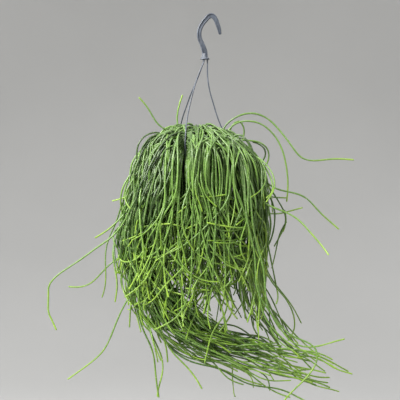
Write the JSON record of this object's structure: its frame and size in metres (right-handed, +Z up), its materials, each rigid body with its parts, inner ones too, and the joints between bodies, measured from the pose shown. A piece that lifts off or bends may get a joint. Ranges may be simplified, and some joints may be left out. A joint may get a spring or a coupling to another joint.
{
  "type": "hanging potted rhipsalis",
  "caption": "Mistletoe cactus with long thin arching stems that cover a plastic hanging pot, on a hanger with a ribbed hook and slim legs.",
  "frame": {"origin": "the hook's seat, the top of its inner side, where it lies on the rail or nail that carries it", "axes": "+Z up, -Y towards the front of the plant, +X to the right seen from the front, where the long tails sweep"},
  "size_m": [0.5748, 0.2513, 0.7291],
  "materials": {
    "hanger_plastic": "grey moulded plastic, satin",
    "pot_plastic": "dark grey moulded plastic, satin",
    "potting_soil": "moist dark peat, rough",
    "stem": "smooth fleshy green stem, satin"
  },
  "bodies": {
    "root": {"hook": "hanger_plastic", "hanger_leg_right": "hanger_plastic", "hanger_leg_left": "hanger_plastic", "hanger_leg_front": "hanger_plastic", "pot": "pot_plastic", "soil": "potting_soil", "spray_01": "stem", "spray_02": "stem", "spray_03": "stem", "spray_04": "stem", "spray_05": "stem", "spray_06": "stem", "spray_07": "stem", "spray_08": "stem", "spray_09": "stem", "spray_10": "stem", "spray_11": "stem", "spray_12": "stem", "spray_13": "stem", "spray_14": "stem", "spray_15": "stem", "spray_16": "stem", "spray_17": "stem", "spray_18": "stem", "spray_19": "stem", "spray_20": "stem", "spray_21": "stem"}
  },
  "joints": []
}
